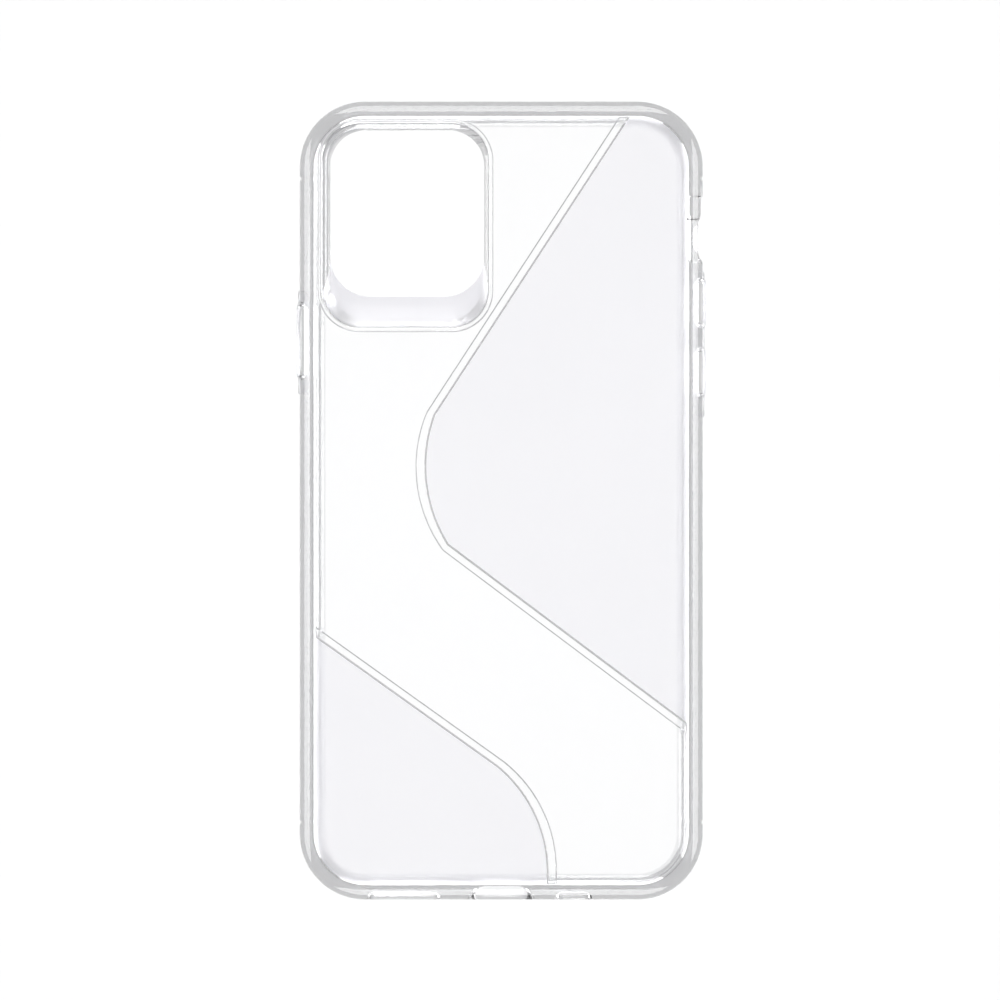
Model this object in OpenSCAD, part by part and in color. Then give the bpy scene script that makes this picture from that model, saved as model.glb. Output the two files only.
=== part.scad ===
// Clear flexible phone case: a gloss S-shaped band between two frosted fields,
// a full-width bumper frame, one large camera window and three press pads.
// The case lies face down. Z = 0 is the screen-side lip, the back faces up (+Z),
// the top of the phone is at +Y, and the origin is at the centre of the footprint.

/* [Phone] */
// Width of the phone that the case fits
phone_w = 71.4; // [71.0:0.1:72.4]
// Length of the phone
phone_l = 144.0; // [143.6:0.1:145.4]
// Thickness of the phone
phone_t = 8.1; // [8.0:0.1:8.6]
// Gap between the phone and the case on each side
fit_gap = 0.1; // [0.05:0.05:0.2]

/* [Shell] */
// Thickness of the side walls
wall_t = 1.3; // [1.2:0.1:1.5]
// Thickness of the back
back_t = 1.3; // [1.2:0.1:1.5]
// Radius of the outer corners, seen from the back
corner_r = 12.1; // [11.6:0.1:12.6]
// Width of the bumper frame, seen from the back, which is also its edge radius
frame_w = 3.0; // [2.9:0.05:3.1]
// Edge radius of the fuller corner cushions
cushion_edge_r = 2.6; // [2.3:0.1:2.8]
// Length of each corner cushion along the long sides
cushion_l = 14.7; // [14.0:0.1:16.0]
// Radius of the screen-side edge
front_edge_r = 1.2; // [0.9:0.1:1.2]

/* [Screen lip] */
// Thickness of the lip that laps over the screen
lip_t = 0.9; // [0.7:0.1:1.1]
// How far the lip laps over the screen
lip_lap = 1.1; // [0.8:0.1:1.3]

/* [Back pattern] */
// Height of the ribs above the gloss band
rib_rise = 0.3; // [0.1:0.1:0.5]
// Depth of the frosted fields below the gloss band
frost_recess = 0.15; // [0.05:0.05:0.3]

/* [Camera window] */
// Height of the camera rim above the back
rim_rise = 1.2; // [0.8:0.1:1.5]
// Width of the rim's flat top
rim_w = 0.8; // [0.6:0.1:1.0]
// Length of the lower ramp that clears the lens view
ramp_l = 5.8; // [5.0:0.1:6.4]

/* [Press pads] */
// Height of the surround above the side wall
surround_rise = 0.3; // [0.2:0.05:0.35]
// Height of the pads above the side wall
pad_rise = 0.6; // [0.5:0.05:0.7]
// Width of the pads across the thickness of the case
pad_w = 3.0; // [2.6:0.1:3.2]
// Width of the thin web round each pad
web_w = 0.3; // [0.2:0.05:0.35]
// Length of the power pad
power_l = 13.8; // [12.0:0.1:14.4]
// Length of each volume pad
volume_l = 8.8; // [8.0:0.1:9.2]

/* [Hidden] */

// Overall sizes
half_w = phone_w / 2 + fit_gap + wall_t;
half_l = phone_l / 2 + fit_gap + wall_t;
floor_z = lip_t + phone_t;
back_z = floor_z + back_t;
mid_z = lip_t + phone_t / 2;
pocket_r = phone_t / 2;
pocket_u = wall_t + pocket_r;
lip_split = wall_t + 0.2;
lip_end = wall_t + lip_lap;
ledge_end = pocket_u - 0.75;
panel_x = half_w - frame_w;
panel_y = half_l - frame_w;
arc_x = half_w - corner_r;
arc_y = half_l - corner_r;
cushion_y = half_l - cushion_l;
arc_steps = 24;
cut = 1;

// Ribs: where each edge turns from a straight run into its arc, and the runs' directions
steep = 56.85;
shallow = -36.87;
lower_run = 144.45;
reach = 120;
upper_inner = [[-12.1, 15.7], [-9.66, -7.94], 27.1];
upper_outer = [[-13.7, 16.3], [-10.75, -9.2], 26.2];
lower_inner = [[-0.8, -48.9], [8.35, -68.3], 25.15];
lower_outer = [[0.5, -47.8], [10.2, -67.8], 25.4];

// Camera window: edges of the rim's outside, measured from the case's outer edges
rim_left = -half_w + 3.45;
rim_right = rim_left + 32.2;
rim_top = half_l - 3.45;
rim_bottom = rim_top - 39.1;
rim_z = back_z + rim_rise;
rim_r = 7.6;
rim_in_r = rim_r - rim_w;
slope_left = 1.5;
slope_right = 0.9;
slope_top = 1.2;
hole_top_r = 6.4;
hole_low_r = 7.5;

// Press pads
surround_w = 4.6;
power_y = 29.4;
power_surround_y = 29.1;
power_surround_l = 19.2;
volume_up_y = 36.4;
volume_down_y = 23.6;
volume_surround_y = 28.75;
volume_surround_l = 26.9;
pad_back = 0.7;
web_out = 0.3;
web_t = 0.4;

// Openings in the walls
port_l = 12;
port_w = 6;
slot_w = 3;
speaker_x = -17.9;
speaker_l = 13.6;
mic_x = 13.3;
mic_l = 6.8;
mute_low = 44.8;
mute_high = 51.6;
mute_deep = 0.95;
mute_window_l = 6.2;
mute_window_w = 4.6;
mute_window_y = 48.2;
step_high = 55.7;
step_deep = 0.45;

CLEAR = [0.93, 0.94, 0.95, 0.55];
FRAME = [0.80, 0.82, 0.84, 0.75];
FROST = [0.86, 0.87, 0.90, 0.85];
RIB = [0.66, 0.68, 0.70, 0.9];
PAD = [0.74, 0.75, 0.78, 1];

// Points along an arc about c from angle a to angle b
function arc(c, r, a, b, n) =
  [for (i = [0:n]) c + r * [cos(a + (b - a) * i / n), sin(a + (b - a) * i / n)]];

// Outline of a rounded rectangle between two corners, with its own radius at top and bottom
function round_rect(lo, hi, r_low, r_top, n) = concat(
  arc([hi.x - r_low, lo.y + r_low], r_low, -90, 0, n),
  arc([hi.x - r_top, hi.y - r_top], r_top, 0, 90, n),
  arc([lo.x + r_top, hi.y - r_top], r_top, 90, 180, n),
  arc([lo.x + r_low, lo.y + r_low], r_low, 180, 270, n)
);

// Outline of a slot with round ends, centred on c
function slot(c, l, w) = concat(
  arc(c + [(l - w) / 2, 0], w / 2, -90, 90, arc_steps),
  arc(c - [(l - w) / 2, 0], w / 2, 90, 270, arc_steps)
);

// Centre of the arc of radius r from p to q; side is 1 where it lies left of p to q
function arc_centre(p, q, r, side) =
  (p + q) / 2 + side * sqrt(r * r - norm(q - p) * norm(q - p) / 4) * [p.y - q.y, q.x - p.x] / norm(q - p);

// One edge of a rib: a straight run, an arc and another straight run
function rib_edge(e, run_a, run_b, side) =
  let (
    c = arc_centre(e[0], e[1], e[2], side),
    a = atan2(e[0].y - c.y, e[0].x - c.x),
    b_raw = atan2(e[1].y - c.y, e[1].x - c.x),
    b = b_raw + (side > 0 && b_raw < a ? 360 : 0)
  )
  concat(
    [e[0] + reach * [cos(run_a), sin(run_a)]],
    arc(c, e[2], a, b, arc_steps),
    [e[1] + reach * [cos(run_b), sin(run_b)]]
  );

// ---- Flat outlines of the back ----

module panel_outline() {
  polygon(round_rect([-panel_x, -panel_y], [panel_x, panel_y], corner_r - frame_w, corner_r - frame_w, arc_steps));
}

module upper_field(edge) {
  polygon(rib_edge(edge, steep, shallow, 1));
}

module lower_field(edge) {
  polygon(rib_edge(edge, lower_run, -90, -1));
}

module rim_outline() {
  polygon(round_rect([rim_left, rim_bottom], [rim_right, rim_top], rim_r, rim_r, arc_steps));
}

// Layer of the back from height a to height b
module layer(a, b) {
  translate([0, 0, a])
    linear_extrude(b - a)
      children();
}

// ---- Back ----

module back_panel() {
  color(CLEAR)
    layer(floor_z, back_z)
      difference() {
        panel_outline();
        upper_field(upper_outer);
        lower_field(lower_outer);
        rim_outline();
      }
}

module frosted_panel_upper() {
  color(FROST)
    layer(floor_z, back_z - frost_recess)
      intersection() {
        panel_outline();
        upper_field(upper_inner);
      }
}

module frosted_panel_lower() {
  color(FROST)
    layer(floor_z, back_z - frost_recess)
      intersection() {
        panel_outline();
        lower_field(lower_inner);
      }
}

module rib_upper() {
  color(RIB)
    layer(floor_z, back_z + rib_rise)
      intersection() {
        panel_outline();
        difference() {
          upper_field(upper_outer);
          upper_field(upper_inner);
        }
      }
}

module rib_lower() {
  color(RIB)
    layer(floor_z, back_z + rib_rise)
      intersection() {
        panel_outline();
        difference() {
          lower_field(lower_outer);
          lower_field(lower_inner);
        }
      }
}

// ---- Camera window ----

// Thin slab of the window's outline, drawn in by the given amounts, at height z
module window_slab(z, left, right, top, bottom, r_low, r_top) {
  translate([0, 0, z])
    linear_extrude(0.01)
      polygon(round_rect(
        [rim_left + rim_w + left, rim_bottom + rim_w + bottom],
        [rim_right - rim_w - right, rim_top - rim_w - top],
        r_low, r_top, arc_steps
      ));
}

// Space inside the rim, steep on all four sides
module rim_bore() {
  hull() {
    window_slab(rim_z, 0, 0, 0, 0, rim_in_r, rim_in_r);
    window_slab(floor_z - 0.01, slope_left, slope_right, slope_top, slope_right, hole_low_r, hole_top_r);
  }
}

module camera_rim() {
  color(CLEAR)
    difference() {
      layer(floor_z, rim_z)
        rim_outline();
      rim_bore();
    }
}

// The scooped filler at the window's lower end
module camera_ramp() {
  ease = 0.05;
  color(FROST)
    difference() {
      intersection() {
        rim_bore();
        translate([rim_left, rim_bottom, floor_z])
          cube([rim_right - rim_left, 14, back_t + rim_rise - 0.25]);
      }
      hull() {
        window_slab(rim_z, -ease, -ease, -ease, 0, rim_in_r, rim_in_r);
        window_slab(
          floor_z - 0.01, slope_left - ease, slope_right - ease, slope_top - ease, ramp_l, hole_low_r, hole_top_r
        );
      }
    }
}

// ---- Bumper frame ----

// Angle at which the pocket's round side, seen in section, lies u inside the outer face
function pocket_angle(u) = acos((pocket_u - u) / pocket_r);

// Section of the frame: X runs inward from the outer face, Y runs up from the lip plane
module frame_section(edge_r) {
  polygon(concat(
    arc([front_edge_r, front_edge_r], front_edge_r, 180, 270, 12),
    [[lip_split, 0]],
    arc([pocket_u, mid_z], pocket_r, 180 + pocket_angle(lip_split), 180 - pocket_angle(ledge_end), 32),
    [[ledge_end, floor_z], [frame_w, floor_z], [frame_w, back_z]],
    arc([edge_r, back_z - edge_r], edge_r, 90, 180, 12)
  ));
}

// Section of the lip, which carries the round side on under the edge of the phone
module lip_section() {
  chamfer = 0.35;
  polygon(concat(
    [[lip_split, 0], [lip_end - chamfer, 0], [lip_end, chamfer]],
    arc([pocket_u, mid_z], pocket_r, 180 + pocket_angle(lip_end), 180 + pocket_angle(lip_split), 8)
  ));
}

// Straight run of a section along Y with its outer face at -half_w
module side_run(y0, y1) {
  translate([-half_w, y1, 0])
    rotate([90, 0, 0])
      linear_extrude(y1 - y0)
        children();
}

// Straight run of a section along X with its outer face at -half_l
module end_run(x0, x1) {
  translate([x0, -half_l, 0])
    rotate([90, 0, 90])
      linear_extrude(x1 - x0)
        children();
}

// Quarter turn of a section round the lower left corner
module corner_turn() {
  translate([-arc_x, -arc_y, 0])
    rotate([0, 0, 180])
      rotate_extrude(angle = 90, $fn = 96)
        translate([corner_r, 0])
          mirror([1, 0])
            children();
}

// Slab between two X planes with the slot outline l long and w wide, centred at height mid_z
module side_slot(x0, x1, y, l, w) {
  translate([x0, 0, 0])
    rotate([90, 0, 90])
      linear_extrude(x1 - x0)
        polygon(slot([y, mid_z], l, w));
}

// Slot through the lower end wall
module end_slot(x, l, w) {
  translate([0, -half_l + frame_w, 0])
    rotate([90, 0, 0])
      linear_extrude(frame_w + cut)
        polygon(slot([x, mid_z], l, w));
}

// The port and the two sound slots in the lower end
module end_openings() {
  end_slot(0, port_l, port_w);
  end_slot(speaker_x, speaker_l, slot_w);
  end_slot(mic_x, mic_l, slot_w);
}

// The window over the mute switch
module mute_window() {
  side_slot(half_w - frame_w, half_w + cut, mute_window_y, mute_window_l, mute_window_w);
}

module wall_left() {
  color(FRAME)
    difference() {
      side_run(-cushion_y, cushion_y)
        frame_section(frame_w);
      side_slot(-half_w - cut, -half_w + wall_t + cut, power_y, power_l + 2 * web_w, pad_w + 2 * web_w);
    }
}

module wall_right() {
  lean = 1.1;
  color(FRAME)
    difference() {
      mirror([1, 0, 0])
        side_run(-cushion_y, cushion_y)
          frame_section(frame_w);
      for (y = [volume_up_y, volume_down_y])
        side_slot(half_w - wall_t - cut, half_w + cut, y, volume_l + 2 * web_w, pad_w + 2 * web_w);
      mute_window();
      translate([0, 0, -cut])
        linear_extrude(back_z + 2 * cut)
          polygon([
            [half_w + cut, mute_low - lean], [half_w, mute_low - lean],
            [half_w - mute_deep, mute_low], [half_w - mute_deep, mute_high],
            [half_w - step_deep, mute_high + lean / 3], [half_w - step_deep, step_high],
            [half_w, step_high + lean / 3], [half_w + cut, step_high + lean / 3]
          ]);
    }
}

module wall_top() {
  color(FRAME)
    mirror([0, 1, 0])
      end_run(-arc_x, arc_x)
        frame_section(frame_w);
}

module wall_bottom() {
  color(FRAME)
    difference() {
      end_run(-arc_x, arc_x)
        frame_section(frame_w);
      end_openings();
    }
}

// Corner cushion of the lower left corner, with the fine groove where it meets the side wall
module corner_cushion() {
  groove_w = 0.5;
  groove_deep = 0.15;
  color(FRAME)
    difference() {
      union() {
        corner_turn()
          frame_section(cushion_edge_r);
        side_run(-arc_y, -cushion_y)
          frame_section(cushion_edge_r);
      }
      translate([-half_w - cut, -cushion_y - groove_w, -cut])
        cube([cut + groove_deep, groove_w + cut, back_z + 2 * cut]);
    }
}

module corner_bottom_left() {
  corner_cushion();
}

module corner_bottom_right() {
  mirror([1, 0, 0])
    corner_cushion();
}

module corner_top_left() {
  mirror([0, 1, 0])
    corner_cushion();
}

module corner_top_right() {
  rotate([0, 0, 180])
    corner_cushion();
}

// The lip laps over the edge of the screen: four straight runs and four corners
module lip_left() {
  color(FRAME)
    side_run(-arc_y, arc_y)
      lip_section();
}

module lip_right() {
  color(FRAME)
    difference() {
      mirror([1, 0, 0])
        side_run(-arc_y, arc_y)
          lip_section();
      mute_window();
    }
}

module lip_top() {
  color(FRAME)
    mirror([0, 1, 0])
      end_run(-arc_x, arc_x)
        lip_section();
}

module lip_bottom() {
  color(FRAME)
    difference() {
      end_run(-arc_x, arc_x)
        lip_section();
      end_openings();
    }
}

module lip_corner() {
  color(FRAME)
    corner_turn()
      lip_section();
}

module lip_bottom_left() {
  lip_corner();
}

module lip_bottom_right() {
  mirror([1, 0, 0])
    lip_corner();
}

module lip_top_left() {
  mirror([0, 1, 0])
    lip_corner();
}

module lip_top_right() {
  rotate([0, 0, 180])
    lip_corner();
}

// ---- Press pads ----

module power_surround() {
  color(FRAME)
    difference() {
      side_slot(-half_w - surround_rise, -half_w, power_surround_y, power_surround_l, surround_w);
      side_slot(-half_w - cut, -half_w + cut, power_y, power_l + 2 * web_w, pad_w + 2 * web_w);
    }
}

module volume_surround() {
  color(FRAME)
    difference() {
      side_slot(half_w, half_w + surround_rise, volume_surround_y, volume_surround_l, surround_w);
      for (y = [volume_up_y, volume_down_y])
        side_slot(half_w - cut, half_w + cut, y, volume_l + 2 * web_w, pad_w + 2 * web_w);
    }
}

// Thin flexing ring between a pad of length l and its wall, on the right-hand side
module web(y, l) {
  color(PAD)
    difference() {
      side_slot(half_w - web_out - web_t, half_w - web_out, y, l + 2 * web_w, pad_w + 2 * web_w);
      side_slot(half_w - 2 * cut, half_w + cut, y, l, pad_w);
    }
}

// Pad of length l, on the right-hand side
module pad(y, l) {
  color(PAD)
    side_slot(half_w - pad_back, half_w + pad_rise, y, l, pad_w);
}

module power_web() {
  mirror([1, 0, 0])
    web(power_y, power_l);
}

module volume_up_web() {
  web(volume_up_y, volume_l);
}

module volume_down_web() {
  web(volume_down_y, volume_l);
}

module power_button() {
  mirror([1, 0, 0])
    pad(power_y, power_l);
}

module volume_up_button() {
  pad(volume_up_y, volume_l);
}

module volume_down_button() {
  pad(volume_down_y, volume_l);
}

back_panel();
frosted_panel_upper();
frosted_panel_lower();
rib_upper();
rib_lower();
camera_rim();
camera_ramp();
wall_left();
wall_right();
wall_top();
wall_bottom();
corner_top_left();
corner_top_right();
corner_bottom_left();
corner_bottom_right();
lip_left();
lip_right();
lip_top();
lip_bottom();
lip_top_left();
lip_top_right();
lip_bottom_left();
lip_bottom_right();
power_surround();
volume_surround();
power_web();
volume_up_web();
volume_down_web();
power_button();
volume_up_button();
volume_down_button();
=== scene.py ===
from math import acos, atan2, cos, hypot, pi, radians, sin, sqrt

import bmesh
import bpy
from mathutils import Matrix, Vector


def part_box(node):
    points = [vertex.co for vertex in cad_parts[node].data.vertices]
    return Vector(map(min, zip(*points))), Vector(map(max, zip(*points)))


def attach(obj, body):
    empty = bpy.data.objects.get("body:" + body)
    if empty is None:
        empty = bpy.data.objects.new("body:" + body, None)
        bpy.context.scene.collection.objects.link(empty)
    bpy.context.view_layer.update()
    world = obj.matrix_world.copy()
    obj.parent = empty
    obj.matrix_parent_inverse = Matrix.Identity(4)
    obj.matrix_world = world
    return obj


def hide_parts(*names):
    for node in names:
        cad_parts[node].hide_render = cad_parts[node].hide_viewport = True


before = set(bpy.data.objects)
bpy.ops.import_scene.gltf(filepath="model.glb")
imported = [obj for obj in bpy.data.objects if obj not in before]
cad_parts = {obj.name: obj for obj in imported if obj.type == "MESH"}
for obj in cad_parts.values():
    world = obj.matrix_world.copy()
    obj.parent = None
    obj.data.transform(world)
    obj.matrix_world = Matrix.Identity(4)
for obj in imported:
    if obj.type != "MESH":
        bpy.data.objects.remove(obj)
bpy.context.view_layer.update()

MM = 0.001
scene = bpy.context.scene


def linked(ob):
    """Puts a new object into the scene."""
    scene.collection.objects.link(ob)
    return ob


# ---------------------------------------------------------------------------
# Studio: a pale floor in a room with four tall soft boxes, one on each side of the case, which
# leave the diagonals dark. The paper's colour has painted shade that darkens it at a shallow angle,
# which draws the edges of a clear object. A long lens looks straight down on the case.
# ---------------------------------------------------------------------------

scene.view_settings.view_transform = "Standard"
scene.cycles.max_bounces = 14
scene.cycles.transmission_bounces = 14
scene.cycles.glossy_bounces = 8
scene.cycles.transparent_max_bounces = 32

world = bpy.data.worlds.new("room")
scene.world = world
world.use_nodes = True
room = world.node_tree


def room_math(operation, first, second=None, clamp=False):
    """One sum in the room's shader, of sockets or numbers."""
    node = room.nodes.new("ShaderNodeMath")
    node.operation = operation
    node.use_clamp = clamp
    for socket, value in zip(node.inputs, (first, second)):
        if isinstance(value, bpy.types.NodeSocket):
            room.links.new(value, socket)
        elif value is not None:
            socket.default_value = value
    return node.outputs[0]


direction = room.nodes.new("ShaderNodeTexCoord")
parts = room.nodes.new("ShaderNodeSeparateXYZ")
room.links.new(direction.outputs["Generated"], parts.inputs[0])
east, north = (room_math("ABSOLUTE", parts.outputs[axis]) for axis in "XY")
facing = room_math("MAXIMUM", east, north)
aside = room_math("DIVIDE", room_math("MINIMUM", east, north), facing)
height = room_math("DIVIDE", parts.outputs["Z"], facing)
# The boxes' foot, top and half width, as slopes from the middle of the room, and their soft edge.
box_low, box_high, box_side, box_soft = 0.03, 1.25, 0.6, 20
narrowing = room_math("SUBTRACT", 1, room_math("POWER", room_math("DIVIDE", aside, box_side), 2))
top = room_math("MULTIPLY", narrowing, box_high)
over_foot = room_math("MULTIPLY", room_math("SUBTRACT", height, box_low), box_soft, True)
under_top = room_math("MULTIPLY", room_math("SUBTRACT", top, height), box_soft, True)
boxes = room_math("MULTIPLY", over_foot, under_top)
walls = room.nodes.new("ShaderNodeValToRGB")
walls.color_ramp.elements[0].color = (0.4, 0.4, 0.405, 1)
walls.color_ramp.elements[1].position = 0.8
walls.color_ramp.elements[1].color = (0.6, 0.6, 0.6, 1)
room.links.new(parts.outputs["Z"], walls.inputs["Fac"])
room.links.new(walls.outputs["Color"], room.nodes["Background"].inputs["Color"])
lamp_power = 11
strength = room_math("ADD", room_math("MULTIPLY", boxes, lamp_power), 1)
room.links.new(strength, room.nodes["Background"].inputs["Strength"])

bm = bmesh.new()
bmesh.ops.create_circle(bm, cap_ends=True, segments=96, radius=4)
bmesh.ops.translate(bm, verts=bm.verts, vec=(0, 0, -0.05 * MM))
floor_mesh = bpy.data.meshes.new("floor")
bm.to_mesh(floor_mesh)
bm.free()
floor = linked(bpy.data.objects.new("floor", floor_mesh))
paper = bpy.data.materials.new("floor_paper")
paper.use_nodes = True
nt = paper.node_tree
# Painted shade: the floor's colour falls from pale when seen straight on to about half when seen at a
# shallow angle. This stands in for the darker room beyond the floor.
slant = nt.nodes.new("ShaderNodeLayerWeight")
painted_grazing_shade = nt.nodes.new("ShaderNodeValToRGB")
nt.links.new(slant.outputs["Facing"], painted_grazing_shade.inputs["Fac"])
nt.links.new(painted_grazing_shade.outputs["Color"], nt.nodes["Principled BSDF"].inputs["Base Color"])
white, grazing = 0.505, 0.55
painted_grazing_shade.color_ramp.elements[0].color = (white, white, white, 1)
for place, share in ((0.03, 0.87), (0.08, 0.72), (0.16, 0.6)):
    stop = painted_grazing_shade.color_ramp.elements.new(place)
    stop.color = (white * share, white * share, white * share, 1)
painted_grazing_shade.color_ramp.elements[-1].color = (grazing * white, grazing * white, (grazing + 0.005) * white, 1)
nt.nodes["Principled BSDF"].inputs["Roughness"].default_value = 0.9
nt.nodes["Principled BSDF"].inputs["Specular IOR Level"].default_value = 0.0
floor.data.materials.append(paper)

back_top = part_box("back_panel")[1].z
camera = linked(bpy.data.objects.new("camera", bpy.data.cameras.new("camera")))
lens, sensor, view_width = 200, 36, 183.42 * MM
camera.data.lens = lens
camera.data.sensor_width = sensor
camera.location = (-0.23 * MM, 0.09 * MM, back_top + view_width * lens / sensor)
scene.camera = camera

# ---------------------------------------------------------------------------
# Finishes: one soft clear polyurethane, polished, frosted or satin, and duller on the sides of
# the ribs and the rim, which also carry a dark grey tint of painted shade. The joints inside the
# moulding can't be seen. Light goes through the case to the floor, as it does through thin clear plastic.
# ---------------------------------------------------------------------------

finish = bpy.data.node_groups.new("moulded_finish", "ShaderNodeTree")
face = finish.interface
face.new_socket("Tint", in_out="INPUT", socket_type="NodeSocketColor")
face.new_socket("Cloud", in_out="INPUT", socket_type="NodeSocketColor")
face.new_socket("Roughness", in_out="INPUT", socket_type="NodeSocketFloat")
face.new_socket("Smudge", in_out="INPUT", socket_type="NodeSocketFloat")
face.new_socket("Grain", in_out="INPUT", socket_type="NodeSocketFloat")
face.new_socket("Color", in_out="OUTPUT", socket_type="NodeSocketColor")
face.new_socket("Roughness", in_out="OUTPUT", socket_type="NodeSocketFloat")
face.new_socket("Normal", in_out="OUTPUT", socket_type="NodeSocketVector")
given = finish.nodes.new("NodeGroupInput")
made = finish.nodes.new("NodeGroupOutput")
where = finish.nodes.new("ShaderNodeTexCoord")
haze = finish.nodes.new("ShaderNodeTexNoise")
haze.inputs["Scale"].default_value = 45
haze.inputs["Detail"].default_value = 4
tinted = finish.nodes.new("ShaderNodeMix")
tinted.data_type = "RGBA"
handled = finish.nodes.new("ShaderNodeTexNoise")
handled.inputs["Scale"].default_value = 140
handled.inputs["Detail"].default_value = 6
worn = finish.nodes.new("ShaderNodeMath")
worn.operation = "MULTIPLY_ADD"
grain = finish.nodes.new("ShaderNodeTexNoise")
grain.inputs["Scale"].default_value = 7000
grain.inputs["Detail"].default_value = 2
bump = finish.nodes.new("ShaderNodeBump")
bump.inputs["Distance"].default_value = 0.00002
for texture in (haze, handled, grain):
    finish.links.new(where.outputs["Object"], texture.inputs["Vector"])
finish.links.new(haze.outputs["Fac"], tinted.inputs["Factor"])
finish.links.new(given.outputs["Tint"], tinted.inputs["A"])
finish.links.new(given.outputs["Cloud"], tinted.inputs["B"])
finish.links.new(tinted.outputs["Result"], made.inputs["Color"])
finish.links.new(handled.outputs["Fac"], worn.inputs[0])
finish.links.new(given.outputs["Smudge"], worn.inputs[1])
finish.links.new(given.outputs["Roughness"], worn.inputs[2])
finish.links.new(worn.outputs[0], made.inputs["Roughness"])
finish.links.new(grain.outputs["Fac"], bump.inputs["Height"])
finish.links.new(given.outputs["Grain"], bump.inputs["Strength"])
finish.links.new(bump.outputs["Normal"], made.inputs["Normal"])


def clear_stuff(name, tint, cloud, roughness, smudge, grain_depth, shine=0.5):
    """The clear polyurethane in one finish, which lets the light of the lamps through."""
    mat = bpy.data.materials.new(name)
    mat.use_nodes = True
    nt = mat.node_tree
    plastic = nt.nodes["Principled BSDF"]
    plastic.inputs["IOR"].default_value = 1.5
    plastic.inputs["Transmission Weight"].default_value = 1.0
    plastic.inputs["Specular IOR Level"].default_value = shine
    skin = nt.nodes.new("ShaderNodeGroup")
    skin.node_tree = finish
    skin.inputs["Tint"].default_value = (*tint, 1)
    skin.inputs["Cloud"].default_value = (*cloud, 1)
    skin.inputs["Roughness"].default_value = roughness
    skin.inputs["Smudge"].default_value = smudge
    skin.inputs["Grain"].default_value = grain_depth
    for output, socket in (("Color", "Base Color"), ("Roughness", "Roughness"), ("Normal", "Normal")):
        nt.links.new(skin.outputs[output], plastic.inputs[socket])
    path = nt.nodes.new("ShaderNodeLightPath")
    lamps = nt.nodes.new("ShaderNodeMath")
    lamps.operation = "MAXIMUM"
    nt.links.new(path.outputs["Is Shadow Ray"], lamps.inputs[0])
    nt.links.new(path.outputs["Is Diffuse Ray"], lamps.inputs[1])
    through = nt.nodes.new("ShaderNodeBsdfTransparent")
    mix = nt.nodes.new("ShaderNodeMixShader")
    nt.links.new(lamps.outputs[0], mix.inputs["Fac"])
    nt.links.new(plastic.outputs["BSDF"], mix.inputs[1])
    nt.links.new(through.outputs["BSDF"], mix.inputs[2])
    nt.links.new(mix.outputs["Shader"], nt.nodes["Material Output"].inputs["Surface"])
    return mat


gloss = clear_stuff("clear_gloss", (0.99, 0.99, 0.992), (0.98, 0.982, 0.986), 0.015, 0.03, 0.0)
frosted = clear_stuff("clear_frosted", (0.915, 0.912, 0.932), (0.895, 0.892, 0.915), 0.3, 0.08, 0.25, 0.25)
bumper = clear_stuff("clear_bumper", (0.94, 0.942, 0.948), (0.91, 0.912, 0.92), 0.03, 0.03, 0.0)
ramp_matt = clear_stuff("clear_ramp", (0.84, 0.835, 0.865), (0.8, 0.795, 0.83), 0.35, 0.08, 0.25, 0.15)
# Painted shade: a dark grey tint on the steep sides of the ribs and the rim's walls stands in for the shade
# in steep clear walls; only the higher roughness is a real duller finish.
painted_shade_edge = clear_stuff("clear_edge", (0.5, 0.5, 0.51), (0.46, 0.46, 0.47), 0.2, 0.05, 0.0)
satin = clear_stuff("clear_pad", (0.92, 0.92, 0.93), (0.9, 0.9, 0.915), 0.12, 0.05, 0.05)

joined = bpy.data.materials.new("inside_joint")
joined.use_nodes = True
nt = joined.node_tree
nt.nodes.remove(nt.nodes["Principled BSDF"])
open_face = nt.nodes.new("ShaderNodeBsdfTransparent")
nt.links.new(open_face.outputs["BSDF"], nt.nodes["Material Output"].inputs["Surface"])
# Places of the joint finish and of the edge finish with painted shade in a piece's list of materials.
JOINT, SHADE_EDGE = 1, 2

# ---------------------------------------------------------------------------
# Bumper frame: four walls and four corner cushions, which begin at a fine groove on the
# long sides. Inside they follow the phone's rounded side, and a thin ledge of theirs carries the
# back. The outside rolls over into the back with a 3 mm radius.
# ---------------------------------------------------------------------------

half_w = -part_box("wall_left")[0].x
half_l = -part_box("wall_bottom")[0].y
floor_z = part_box("back_panel")[0].z
back_z = back_top
lip_t = 0.9 * MM
wall_t = 1.3 * MM
frame_w = 3.0 * MM
corner_r = 12.1 * MM
edge_r = 2.9 * MM
front_r = 1.2 * MM
lip_end = wall_t + 1.1 * MM
pocket_r = (floor_z - lip_t) / 2
pocket_u = wall_t + pocket_r
mid_z = lip_t + pocket_r
ledge_end = pocket_u - 0.5 * MM
ledge_z = floor_z - 0.02 * MM
split_z = front_r
arc_x, arc_y = half_w - corner_r, half_l - corner_r
cushion_y = -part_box("corner_bottom_left")[1].y
groove_l, groove_deep = 0.9 * MM, 0.15 * MM


def line_to(bm, vert, to):
    """Draws a straight edge from a vertex and returns its far end."""
    end = bmesh.ops.extrude_vert_indiv(bm, verts=[vert])["verts"][0]
    end.co = to
    return end


def turn(bm, vert, centre, axis, angle, steps):
    """Draws an arc from a vertex about a centre and returns its far end."""
    out = bmesh.ops.spin(bm, geom=[vert], cent=centre, axis=axis, angle=angle, steps=steps)
    return next(g for g in out["geom_last"] if isinstance(g, bmesh.types.BMVert))


def at_left(u, z):
    """The point u inside the left-hand outer face and z above the lip plane, at Y 0."""
    return Vector((-half_w + u, 0, z))


def bend(bm, vert, u, z, angle, steps):
    """An arc of the section about a point of it, anticlockwise with +X to the right."""
    return turn(bm, vert, at_left(u, z), (0, 1, 0), -angle, steps)


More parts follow.
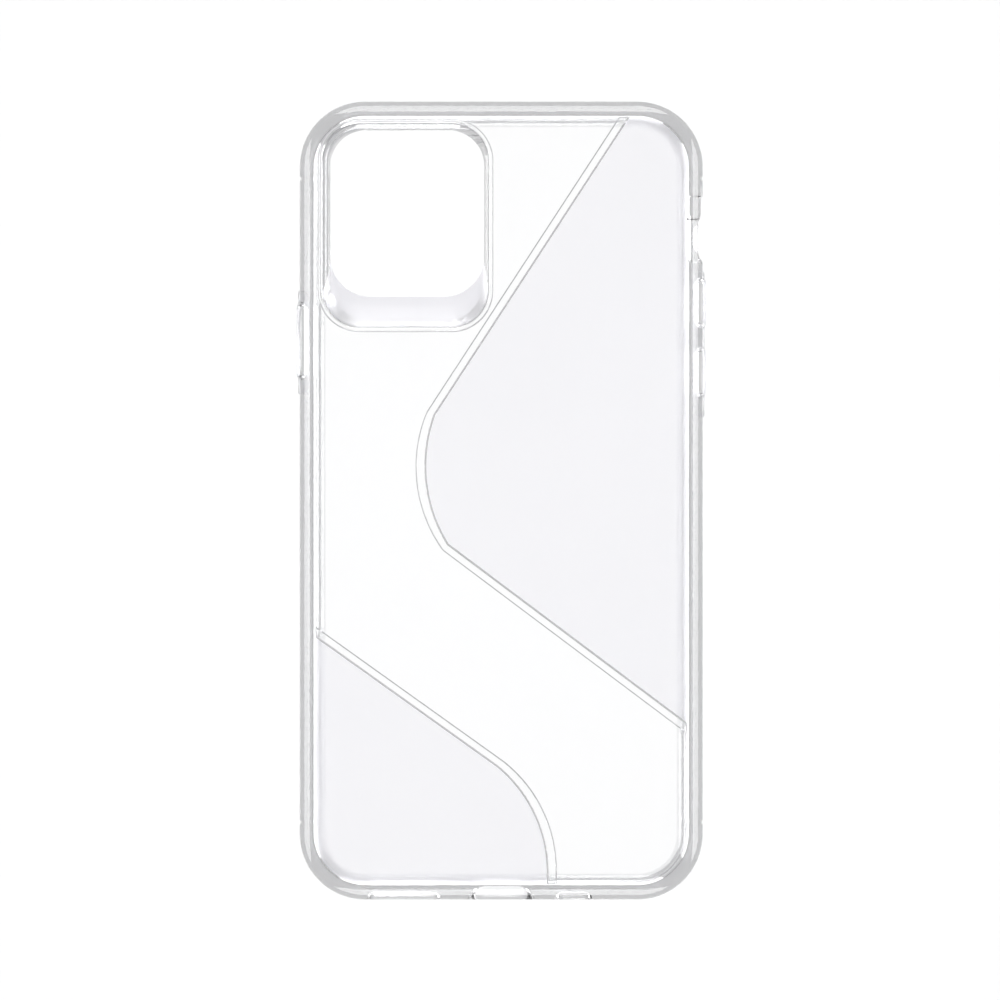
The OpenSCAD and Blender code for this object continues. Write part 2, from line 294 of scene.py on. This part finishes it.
def draw_wall_section(bm):
    """Draws the frame's section from the lip's top up, as a closed line at the left side."""
    hold = 0.05 * MM
    low = acos((pocket_u - lip_end) / pocket_r)
    high = acos((pocket_u - ledge_end) / pocket_r)
    start = bm.verts.new(at_left(0, split_z))
    v = line_to(bm, start, at_left(lip_end, split_z))
    v = line_to(bm, v, at_left(lip_end, mid_z - pocket_r * sin(low)))
    v = bend(bm, v, pocket_u, mid_z, -(low + high), 48)
    v = line_to(bm, v, at_left(ledge_end, ledge_z))
    v = line_to(bm, v, at_left(frame_w, ledge_z))
    v = line_to(bm, v, at_left(frame_w, back_z))
    v = line_to(bm, v, at_left(edge_r, back_z))
    v = bend(bm, v, edge_r, back_z - edge_r, pi / 2, 24)
    v = line_to(bm, v, at_left(0, back_z - edge_r - hold))
    v = line_to(bm, v, at_left(0, split_z + hold))
    bm.edges.new((v, start))


def sweep_along(bm, edges, move):
    """Sweeps open edges straight along and returns the edges at the far end."""
    grown = bmesh.ops.extrude_edge_only(bm, edges=edges)["geom"]
    ends = {g for g in grown if isinstance(g, bmesh.types.BMVert)}
    bmesh.ops.translate(bm, verts=list(ends), vec=move)
    return [g for g in grown if isinstance(g, bmesh.types.BMEdge) and set(g.verts) <= ends]


def sweep_round(bm, edges, centre, steps=28):
    """Sweeps open edges a quarter turn about an upright axis and returns the far edges."""
    verts = list({v for e in edges for v in e.verts})
    out = bmesh.ops.spin(
        bm, geom=verts + edges, cent=centre, axis=(0, 0, 1), angle=pi / 2, steps=steps
    )
    return [g for g in out["geom_last"] if isinstance(g, bmesh.types.BMEdge)]


def inset_of(co):
    """How far a point lies inside the case's outline, seen from the back."""
    return corner_r - hypot(max(abs(co.x) - arc_x, 0), max(abs(co.y) - arc_y, 0))


def close_ends(bm):
    """Caps the open ends of a sweep as joints inside the moulding."""
    rim = [e for e in bm.edges if len(e.link_faces) == 1]
    for cap in bmesh.ops.edgeloop_fill(bm, edges=rim)["faces"]:
        cap.material_index = JOINT


def mark_joints(bm):
    """Marks the faces where a piece of the frame meets the lip or the back."""
    for f in bm.faces:
        at_lip = all(abs(v.co.z - split_z) < 1e-7 for v in f.verts)
        at_back = all(abs(inset_of(v.co) - frame_w) < 4e-6 and v.co.z > ledge_z - 1e-6 for v in f.verts)
        if at_lip or at_back:
            f.material_index = JOINT


def shade(bm, limit=radians(34)):
    """Smooths the faces and keeps the edges hard that turn by more than the limit."""
    bmesh.ops.recalc_face_normals(bm, faces=bm.faces)
    for f in bm.faces:
        f.smooth = True
    for e in bm.edges:
        joint = len({f.material_index for f in e.link_faces}) > 1
        e.smooth = not joint and e.calc_face_angle(0) < limit


def make_piece(bm, name, stuff):
    """Makes a finished bmesh into a piece of the case, with its finish and the joint's."""
    shade(bm)
    mesh = bpy.data.meshes.new(name)
    bm.to_mesh(mesh)
    bm.free()
    mesh.materials.append(stuff)
    mesh.materials.append(joined)
    return linked(bpy.data.objects.new("clear_" + name, mesh))


def carve(piece, cutters, operation="DIFFERENCE"):
    """Cuts the piece with each cutter, in place, and takes the cutters away."""
    for cutter in cutters:
        cut = piece.modifiers.new("cut", "BOOLEAN")
        cut.operation = operation
        cut.solver = "EXACT"
        cut.object = cutter
    now = piece.evaluated_get(bpy.context.evaluated_depsgraph_get())
    mesh = bpy.data.meshes.new_from_object(now)
    piece.modifiers.clear()
    piece.data = mesh
    for cutter in cutters:
        bpy.data.objects.remove(cutter)


def round_off(piece, pick, radius, segments=4):
    """Rounds the edges that pick accepts and shades the piece again."""
    bm = bmesh.new()
    bm.from_mesh(piece.data)
    bmesh.ops.remove_doubles(bm, verts=bm.verts, dist=2e-7)
    bmesh.ops.recalc_face_normals(bm, faces=bm.faces)
    edges = [e for e in bm.edges if len(e.link_faces) == 2 and pick(e)]
    if edges:
        bmesh.ops.bevel(
            bm, geom=edges, offset=radius, segments=segments, profile=0.5, affect="EDGES", material=-1
        )
    shade(bm)
    bm.to_mesh(piece.data)
    bm.free()


def slot_bar(name, y, length, width, x0, x1, stuff, quarter=0):
    """A bar with a slot's outline across the right side, or turned by quarters about Z."""
    bm = bmesh.new()
    r = width / 2
    start = bm.verts.new((x0, y + length / 2 - r, mid_z - r))
    v = turn(bm, start, (x0, y + length / 2 - r, mid_z), (1, 0, 0), pi, 20)
    v = line_to(bm, v, (x0, y - length / 2 + r, mid_z + r))
    v = turn(bm, v, (x0, y - length / 2 + r, mid_z), (1, 0, 0), pi, 20)
    bmesh.ops.remove_doubles(bm, verts=bm.verts, dist=1e-8)
    bm.edges.new((v, start))
    cap = bmesh.ops.edgeloop_fill(bm, edges=bm.edges)["faces"]
    grown = bmesh.ops.extrude_face_region(bm, geom=cap, use_keep_orig=True)["geom"]
    far = [g for g in grown if isinstance(g, bmesh.types.BMVert)]
    bmesh.ops.translate(bm, verts=far, vec=(x1 - x0, 0, 0))
    bmesh.ops.rotate(bm, verts=bm.verts, cent=(0, 0, 0), matrix=Matrix.Rotation(quarter * pi / 2, 3, "Z"))
    return make_piece(bm, name, stuff)


def side_wall(name):
    """The left-hand wall between the cushions, or the right-hand one."""
    bm = bmesh.new()
    draw_wall_section(bm)
    bmesh.ops.translate(bm, verts=bm.verts, vec=(0, -cushion_y, 0))
    sweep_along(bm, list(bm.edges), (0, 2 * cushion_y, 0))
    close_ends(bm)
    mark_joints(bm)
    if name == "wall_right":
        bmesh.ops.scale(bm, verts=bm.verts, vec=(-1, 1, 1))
    return make_piece(bm, name, bumper)


def end_wall(name):
    """The wall of the lower end between the corners, or of the top end."""
    bm = bmesh.new()
    draw_wall_section(bm)
    bmesh.ops.rotate(bm, verts=bm.verts, cent=(0, 0, 0), matrix=Matrix.Rotation(pi / 2, 3, "Z"))
    bmesh.ops.translate(bm, verts=bm.verts, vec=(-arc_x, half_w - half_l, 0))
    sweep_along(bm, list(bm.edges), (2 * arc_x, 0, 0))
    close_ends(bm)
    mark_joints(bm)
    if name == "wall_top":
        bmesh.ops.scale(bm, verts=bm.verts, vec=(1, -1, 1))
    return make_piece(bm, name, bumper)


def at_mouth(axis, place, low, high):
    """Picks the edges round an opening's mouth, on the plane where that axis is at place."""

    def pick(e):
        flat = all(abs(v.co[axis] - place) < 2e-6 for v in e.verts)
        across = 1 - axis
        inside = all(low < v.co[across] < high and abs(v.co.z - mid_z) < 3.4 * MM for v in e.verts)
        return flat and inside and e.calc_face_angle(0) > 1.2

    return pick


web_low, web_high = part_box("power_web")
wall_left = side_wall("wall_left")
power_y = (web_low.y + web_high.y) / 2
cutter = slot_bar(
    "cutter", power_y, web_high.y - web_low.y, web_high.z - web_low.z,
    -half_w - MM, -half_w + wall_t + MM, bumper,
)
carve(wall_left, [cutter])
round_off(wall_left, at_mouth(0, -half_w, web_low.y - MM, web_high.y + MM), 0.15 * MM, 3)

wall_right = side_wall("wall_right")
cutters = []
for name in ("volume_up_web", "volume_down_web"):
    low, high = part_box(name)
    cutters.append(
        slot_bar(
            "cutter", (low.y + high.y) / 2, high.y - low.y, high.z - low.z,
            half_w - wall_t - MM, half_w + MM, bumper,
        )
    )
mute_y = 48.2 * MM
cutters.append(slot_bar("cutter", mute_y, 6.2 * MM, 4.6 * MM, half_w - frame_w, half_w + MM, bumper))


def mute_scoop():
    """The finger scoop over the mute switch, with the shallow step above it, as a cutter."""
    bm = bmesh.new()
    low, high, deep = 44.8 * MM, 51.6 * MM, half_w - 0.95 * MM
    out = half_w + MM
    v = bm.verts.new((out, low - 1.1 * MM, -MM))
    first = v
    for x, y in (
        (half_w, low - 1.1 * MM),
        (deep, low),
        (deep, high),
        (half_w - 0.45 * MM, high + 0.4 * MM),
        (half_w - 0.45 * MM, 55.7 * MM),
        (half_w, 56.1 * MM),
        (out, 56.1 * MM),
    ):
        v = line_to(bm, v, (x, y, -MM))
    bm.edges.new((v, first))
    cap = bmesh.ops.edgeloop_fill(bm, edges=bm.edges)["faces"]
    grown = bmesh.ops.extrude_face_region(bm, geom=cap, use_keep_orig=True)["geom"]
    far = [g for g in grown if isinstance(g, bmesh.types.BMVert)]
    bmesh.ops.translate(bm, verts=far, vec=(0, 0, back_z + 2 * MM))
    upright = [
        e for e in bm.edges
        if abs(e.verts[0].co.z - e.verts[1].co.z) > MM and e.verts[0].co.x < half_w - 1e-6
    ]
    bmesh.ops.bevel(bm, geom=upright, offset=0.7 * MM, segments=5, profile=0.5, affect="EDGES", material=-1)
    return make_piece(bm, "cutter", bumper)


cutters.append(mute_scoop())
carve(wall_right, cutters)
round_off(wall_right, at_mouth(0, half_w, 15 * MM, 43 * MM), 0.15 * MM, 3)

wall_top = end_wall("wall_top")
wall_bottom = end_wall("wall_bottom")
end_slots = ((0, 12 * MM, 6 * MM), (-17.9 * MM, 13.6 * MM, 3 * MM), (13.3 * MM, 6.8 * MM, 3 * MM))
carve(
    wall_bottom,
    [slot_bar("cutter", x, l, w, half_l - frame_w, half_l + MM, bumper, -1) for x, l, w in end_slots],
)
for x, l, w in end_slots:
    round_off(wall_bottom, at_mouth(1, -half_l, x - l / 2 - MM, x + l / 2 + MM), 0.15 * MM, 3)

for piece in (wall_left, wall_right, wall_top, wall_bottom):
    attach(piece, "shell")
    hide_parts(piece.name.removeprefix("clear_"))


def sink(bm, verts):
    """Draws the outside of the section in by the groove's depth, less and less up the edge."""
    for v in verts:
        u = inset_of(v.co)
        if u < edge_r and (u < 1e-6 or v.co.z > mid_z + MM):
            v.co.x += groove_deep * max(1 - u / (0.3 * edge_r), 0)


for name, flip in (
    ("corner_bottom_left", (1, 1, 1)),
    ("corner_bottom_right", (-1, 1, 1)),
    ("corner_top_left", (1, -1, 1)),
    ("corner_top_right", (-1, -1, 1)),
):
    bm = bmesh.new()
    draw_wall_section(bm)
    bmesh.ops.translate(bm, verts=bm.verts, vec=(0, -cushion_y, 0))
    edges = list(bm.edges)
    grooved = []
    for share, deep in ((0.3, True), (0.4, True), (0.3, False)):
        edges = sweep_along(bm, edges, (0, -groove_l * share, 0))
        if deep:
            grooved += {v for e in edges for v in e.verts}
    edges = sweep_along(bm, edges, (0, cushion_y + groove_l - arc_y, 0))
    sweep_round(bm, edges, (-arc_x, -arc_y, 0))
    sink(bm, grooved)
    close_ends(bm)
    mark_joints(bm)
    bmesh.ops.scale(bm, verts=bm.verts, vec=flip)
    corner = make_piece(bm, name, bumper)
    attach(corner, "shell")
    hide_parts(name)

# ---------------------------------------------------------------------------
# Screen lip: the front edge of the frame, which laps 1.1 mm over the phone's edge all round, in
# four runs and four corners. It is rounded outside and inside, and the scoop of the mute switch
# runs down into it.
# ---------------------------------------------------------------------------

lip_r = 0.35 * MM
for name in (
    "lip_left", "lip_right", "lip_bottom", "lip_top",
    "lip_bottom_left", "lip_bottom_right", "lip_top_left", "lip_top_right",
):
    bm = bmesh.new()
    start = bm.verts.new(at_left(0, split_z))
    v = bend(bm, start, front_r, front_r, pi / 2, 14)
    v = line_to(bm, v, at_left(lip_end - lip_r, 0))
    v = bend(bm, v, lip_end - lip_r, lip_r, pi / 2, 8)
    v = line_to(bm, v, at_left(lip_end, split_z))
    bm.edges.new((v, start))
    edges = list(bm.edges)
    if name in ("lip_bottom", "lip_top"):
        bmesh.ops.rotate(bm, verts=bm.verts, cent=(0, 0, 0), matrix=Matrix.Rotation(pi / 2, 3, "Z"))
        bmesh.ops.translate(bm, verts=bm.verts, vec=(-arc_x, half_w - half_l, 0))
        sweep_along(bm, edges, (2 * arc_x, 0, 0))
    else:
        bmesh.ops.translate(bm, verts=bm.verts, vec=(0, -arc_y, 0))
        if name in ("lip_left", "lip_right"):
            sweep_along(bm, edges, (0, 2 * arc_y, 0))
        else:
            sweep_round(bm, edges, (-arc_x, -arc_y, 0))
    close_ends(bm)
    mark_joints(bm)
    bmesh.ops.scale(bm, verts=bm.verts, vec=(-1 if "right" in name else 1, -1 if "top" in name else 1, 1))
    lip = make_piece(bm, name, bumper)
    if name == "lip_right":
        carve(lip, [mute_scoop()])
    round_off(lip, lambda e: False, 0)
    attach(lip, "shell")
    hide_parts(name)

# ---------------------------------------------------------------------------
# Back: the polished S-band, two frosted fields 0.15 mm lower, and the two ribs between them,
# which stand 0.3 mm proud. Each rib edge is a straight run, an arc and a straight run.
# ---------------------------------------------------------------------------

steep, shallow, lower_run, down = radians(56.85), radians(-36.87), radians(144.45), radians(-90)
reach = 120 * MM
rib_edges = {
    "upper_inner": ((-12.1, 15.7), (-9.66, -7.94), 27.1, steep, shallow, 1),
    "upper_outer": ((-13.7, 16.3), (-10.75, -9.2), 26.2, steep, shallow, 1),
    "lower_inner": ((-0.8, -48.9), (8.35, -68.3), 25.15, lower_run, down, -1),
    "lower_outer": ((0.5, -47.8), (10.2, -67.8), 25.4, lower_run, down, -1),
}
frost_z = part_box("frosted_panel_upper")[1].z
rib_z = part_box("rib_upper")[1].z


def raise_outline(bm, outline, heights):
    """Raises a closed flat line through the heights; the lowest layer is a joint inside."""
    edges = outline
    z = outline[0].verts[0].co.z
    for number, top in enumerate(heights):
        before = set(bm.faces)
        edges = sweep_along(bm, edges, (0, 0, top - z))
        z = top
        for f in bm.faces:
            if f not in before:
                f.material_index = JOINT if number == 0 else 0
    bmesh.ops.edgeloop_fill(bm, edges=outline)
    bmesh.ops.edgeloop_fill(bm, edges=edges)


def field(edge, heights):
    """A block that covers one side of a rib's edge, with joints up to the first height."""
    (x0, y0), (x1, y1), radius, run_a, run_b, side = rib_edges[edge]
    p, q = Vector((x0, y0, 0)) * MM, Vector((x1, y1, 0)) * MM
    r = radius * MM
    chord = q - p
    off = side * sqrt(r * r - chord.length_squared / 4) / chord.length
    c = (p + q) / 2 + off * Vector((-chord.y, chord.x, 0))
    a, b = atan2(p.y - c.y, p.x - c.x), atan2(q.y - c.y, q.x - c.x)
    if side > 0 and b < a:
        b += 2 * pi
    lift = Vector((0, 0, floor_z - MM))
    bm = bmesh.new()
    start = bm.verts.new(p + reach * Vector((cos(run_a), sin(run_a), 0)) + lift)
    v = line_to(bm, start, p + lift)
    v = turn(bm, v, c + lift, (0, 0, 1), b - a, 40)
    v = line_to(bm, v, q + reach * Vector((cos(run_b), sin(run_b), 0)) + lift)
    bm.edges.new((v, start))
    raise_outline(bm, list(bm.edges), heights)
    return make_piece(bm, "cutter", gloss)


def rounded_loop(bm, low, high, r_low, r_top, z, steps=20):
    """Draws a rounded rectangle with its own radius at the foot and the top, and returns it."""
    before = set(bm.edges)
    start = bm.verts.new((high[0] - r_low, low[1], z))
    v = turn(bm, start, (high[0] - r_low, low[1] + r_low, z), (0, 0, 1), pi / 2, steps)
    v = line_to(bm, v, (high[0], high[1] - r_top, z))
    v = turn(bm, v, (high[0] - r_top, high[1] - r_top, z), (0, 0, 1), pi / 2, steps)
    v = line_to(bm, v, (low[0] + r_top, high[1], z))
    v = turn(bm, v, (low[0] + r_top, high[1] - r_top, z), (0, 0, 1), pi / 2, steps)
    v = line_to(bm, v, (low[0], low[1] + r_low, z))
    v = turn(bm, v, (low[0] + r_low, low[1] + r_low, z), (0, 0, 1), pi / 2, steps)
    bm.edges.new((v, start))
    return [e for e in bm.edges if e not in before]


def skin(bm, loop, other):
    """Joins two loops that were drawn alike, edge by edge, and returns the faces."""
    made = []
    for pair in zip(loop, other):
        made += bmesh.ops.contextual_create(bm, geom=list(pair))["faces"]
    return made


def slab(name, heights, stuff):
    """The whole outline of the back inside the frame, raised through the heights."""
    bm = bmesh.new()
    edge = Vector((half_w - frame_w, half_l - frame_w))
    r = corner_r - frame_w
    loop = rounded_loop(bm, -edge, edge, r, r, floor_z, 28)
    raise_outline(bm, loop, heights)
    return make_piece(bm, name, stuff)


rim_low, rim_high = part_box("camera_rim")
rim_r = 7.6 * MM
rim_w = 0.8 * MM


def rim_block():
    """The camera rim's outline as a cutter."""
    bm = bmesh.new()
    loop = rounded_loop(bm, rim_low.xy, rim_high.xy, rim_r, rim_r, floor_z - MM)
    raise_outline(bm, loop, [back_z + MM])
    return make_piece(bm, "cutter", gloss)


above = back_z + 2 * MM
back_panel = slab("back_panel", [back_z], gloss)
carve(back_panel, [field("upper_outer", [above]), field("lower_outer", [above]), rim_block()])

frosted_upper = slab("frosted_panel_upper", [frost_z], frosted)
carve(frosted_upper, [field("upper_inner", [above])], "INTERSECT")
frosted_lower = slab("frosted_panel_lower", [frost_z], frosted)
carve(frosted_lower, [field("lower_inner", [above])], "INTERSECT")

rib_upper = slab("rib_upper", [back_z, rib_z], gloss)
carve(rib_upper, [field("upper_outer", [back_z, above])], "INTERSECT")
carve(rib_upper, [field("upper_inner", [frost_z, above])])
rib_lower = slab("rib_lower", [back_z, rib_z], gloss)
carve(rib_lower, [field("lower_outer", [back_z, above])], "INTERSECT")
carve(rib_lower, [field("lower_inner", [frost_z, above])])

for piece in (back_panel, frosted_upper, frosted_lower):
    round_off(piece, lambda e: False, 0)
rib_lean, rib_edge_r = 0.75, 0.08 * MM
for piece in (rib_upper, rib_lower):
    bm = bmesh.new()
    bm.from_mesh(piece.data)
    lean = {}
    for v in bm.verts:
        sides = [f for f in v.link_faces if abs(f.normal.z) < 0.1]
        if v.co.z > rib_z - 1e-6 and sides:
            out = sum((f.normal for f in sides), Vector()).normalized()
            feet = [max(frost_z, min(w.co.z for w in f.verts)) for f in sides]
            lean[v] = -out * (rib_z - min(feet)) * rib_lean / max(out.dot(sides[0].normal), 0.5)
            # The rib's sides take the finish with painted shade.
            for f in sides:
                if f.material_index != JOINT:
                    f.material_index = SHADE_EDGE
    for v, move in lean.items():
        v.co += move
    piece.data.materials.append(painted_shade_edge)
    bm.to_mesh(piece.data)
    bm.free()
    round_off(
        piece, lambda e: all(v.co.z > rib_z - 1e-6 for v in e.verts) and e.calc_face_angle(0) > 0.7,
        rib_edge_r, 3,
    )

for piece, finish_slot in (
    (back_panel, "clear_gloss"),
    (frosted_upper, "clear_frosted"),
    (frosted_lower, "clear_frosted"),
    (rib_upper, "clear_gloss"),
    (rib_lower, "clear_gloss"),
):
    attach(piece, "shell")
    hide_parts(piece.name.removeprefix("clear_"))

# ---------------------------------------------------------------------------
# Camera window: a rim that stands 1.2 mm above the back, with walls that lean in towards the
# phone, and a scooped ramp at the lower end that clears the lens's view.
# ---------------------------------------------------------------------------

rim_z = rim_high.z
bore_low, bore_high = rim_low.xy + Vector((rim_w, rim_w)), rim_high.xy - Vector((rim_w, rim_w))
lean_left, lean_right, lean_top, rim_lean = 1.5 * MM, 0.9 * MM, 1.2 * MM, 0.1 * MM
hole_top_r, hole_low_r = 6.4 * MM, 7.5 * MM
bore_r = rim_r - rim_w
brow = 0.18

bm = bmesh.new()
loops = [
    rounded_loop(bm, rim_low.xy, rim_high.xy, rim_r, rim_r, floor_z),
    rounded_loop(bm, rim_low.xy, rim_high.xy, rim_r, rim_r, back_z),
    rounded_loop(
        bm, rim_low.xy + Vector((rim_lean, rim_lean)), rim_high.xy - Vector((rim_lean, rim_lean)),
        rim_r - rim_lean, rim_r - rim_lean, rim_z,
    ),
    rounded_loop(bm, bore_low, bore_high, bore_r, bore_r, rim_z),
    rounded_loop(
        bm,
        bore_low + brow * Vector((lean_left, lean_right)),
        bore_high - brow * Vector((lean_right, lean_top)),
        bore_r + brow * (hole_low_r - bore_r), bore_r + brow * (hole_top_r - bore_r),
        rim_z - brow * (rim_z - floor_z),
    ),
    rounded_loop(
        bm, bore_low + Vector((lean_left, lean_right)), bore_high - Vector((lean_right, lean_top)),
        hole_low_r, hole_top_r, floor_z,
    ),
]
for number, loop in enumerate(loops):
    for f in skin(bm, loop, loops[(number + 1) % len(loops)]):
        # The rim's outer wall and the bore's upper wall take the finish with painted shade.
        f.material_index = (JOINT, SHADE_EDGE, 0, SHADE_EDGE, 0, 0)[number]
camera_rim = make_piece(bm, "camera_rim", gloss)
camera_rim.data.materials.append(painted_shade_edge)
round_off(
    camera_rim, lambda e: all(v.co.z > rim_z - 1e-6 for v in e.verts) and e.calc_face_angle(0) > 0.8,
    0.3 * MM, 5,
)
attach(camera_rim, "shell")
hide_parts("camera_rim")

ramp_l = 5.8 * MM
ramp_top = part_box("camera_ramp")[1].z
bm = bmesh.new()
low_loop = rounded_loop(
    bm, bore_low + Vector((lean_left, lean_right)), bore_high - Vector((lean_right, lean_top)),
    hole_low_r, hole_top_r, floor_z,
)
high_loop = rounded_loop(bm, bore_low, bore_high, bore_r, bore_r, rim_z)
for f in skin(bm, low_loop, high_loop):
    f.material_index = JOINT
bmesh.ops.edgeloop_fill(bm, edges=low_loop)
bmesh.ops.edgeloop_fill(bm, edges=high_loop)
camera_ramp = make_piece(bm, "camera_ramp", ramp_matt)

bm = bmesh.new()
bmesh.ops.create_cube(bm, size=1)
bmesh.ops.scale(bm, verts=bm.verts, vec=(40 * MM, 13 * MM, ramp_top - floor_z + 2 * MM))
bmesh.ops.translate(
    bm, verts=bm.verts,
    vec=((rim_low.x + rim_high.x) / 2, rim_low.y + 6.5 * MM, (ramp_top + floor_z - 2 * MM) / 2),
)
carve(camera_ramp, [make_piece(bm, "cutter", frosted)], "INTERSECT")

bm = bmesh.new()
ease = 0.05 * MM
steps = 8
loops = []
for step in range(steps + 1):
    share = step / steps
    z = rim_z + 0.01 * MM - share * (rim_z - floor_z + 0.02 * MM)
    foot = ramp_l * (1 - sqrt(max(1 - share ** 2, 0))) * 0.35 + ramp_l * share * 0.65
    low = bore_low + Vector((lean_left * share - ease, foot))
    high = bore_high - Vector((lean_right * share - ease, lean_top * share - ease))
    r_low = bore_r * (1 - share) + hole_low_r * share
    r_top = bore_r * (1 - share) + hole_top_r * share
    loops.append(rounded_loop(bm, low, high, r_low, r_top, z))
for lower, upper in zip(loops, loops[1:]):
    skin(bm, lower, upper)
bmesh.ops.edgeloop_fill(bm, edges=loops[0])
bmesh.ops.edgeloop_fill(bm, edges=loops[-1])
carve(camera_ramp, [make_piece(bm, "cutter", frosted)])
round_off(camera_ramp, lambda e: False, 0)
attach(camera_ramp, "shell")
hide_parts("camera_ramp")

# ---------------------------------------------------------------------------
# Press pads: a low surround on each side wall, a thin skin 0.3 mm inside it, and the
# three pads over the phone's keys, rounded at their edges.
# ---------------------------------------------------------------------------

for name, webs, side in (
    ("power_surround", ("power_web",), -1),
    ("volume_surround", ("volume_up_web", "volume_down_web"), 1),
):
    low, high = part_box(name)
    inner, outer = side * (half_w + 0.01 * MM), side * (half_w + (high.x - low.x))
    surround = slot_bar(name, (low.y + high.y) / 2, high.y - low.y, high.z - low.z, inner, outer, satin)
    round_off(surround, lambda e: all(abs(v.co.x - outer) < 1e-6 for v in e.verts), 0.26 * MM, 5)
    holes = []
    for web in webs:
        web_low, web_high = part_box(web)
        holes.append(
            slot_bar(
                "cutter", (web_low.y + web_high.y) / 2, web_high.y - web_low.y, web_high.z - web_low.z,
                side * (half_w - MM), side * (half_w + MM), satin,
            )
        )
    carve(surround, holes)
    round_off(surround, lambda e: False, 0)
    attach(surround, "shell")
    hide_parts(name)

for key, side in (("power", -1), ("volume_up", 1), ("volume_down", 1)):
    web_low, web_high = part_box(key + "_web")
    pad_low, pad_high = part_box(key + "_button")
    y = (pad_low.y + pad_high.y) / 2
    clear = 0.01 * MM
    web = slot_bar(
        key + "_web", y, web_high.y - web_low.y - 2 * clear, web_high.z - web_low.z - 2 * clear,
        web_low.x, web_high.x, satin,
    )
    hole = slot_bar(
        "cutter", y, pad_high.y - pad_low.y + 2 * clear, pad_high.z - pad_low.z + 2 * clear,
        web_low.x - MM, web_high.x + MM, satin,
    )
    carve(web, [hole])
    round_off(web, lambda e: False, 0)
    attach(web, "shell")
    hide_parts(key + "_web")

    inner, outer = (pad_low.x, pad_high.x) if side > 0 else (pad_high.x, pad_low.x)
    pad = slot_bar(key + "_button", y, pad_high.y - pad_low.y, pad_high.z - pad_low.z, inner, outer, satin)
    round_off(pad, lambda e: all(abs(v.co.x - outer) < 1e-6 for v in e.verts), 0.4 * MM, 6)
    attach(pad, key + "_pad")
    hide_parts(key + "_button")
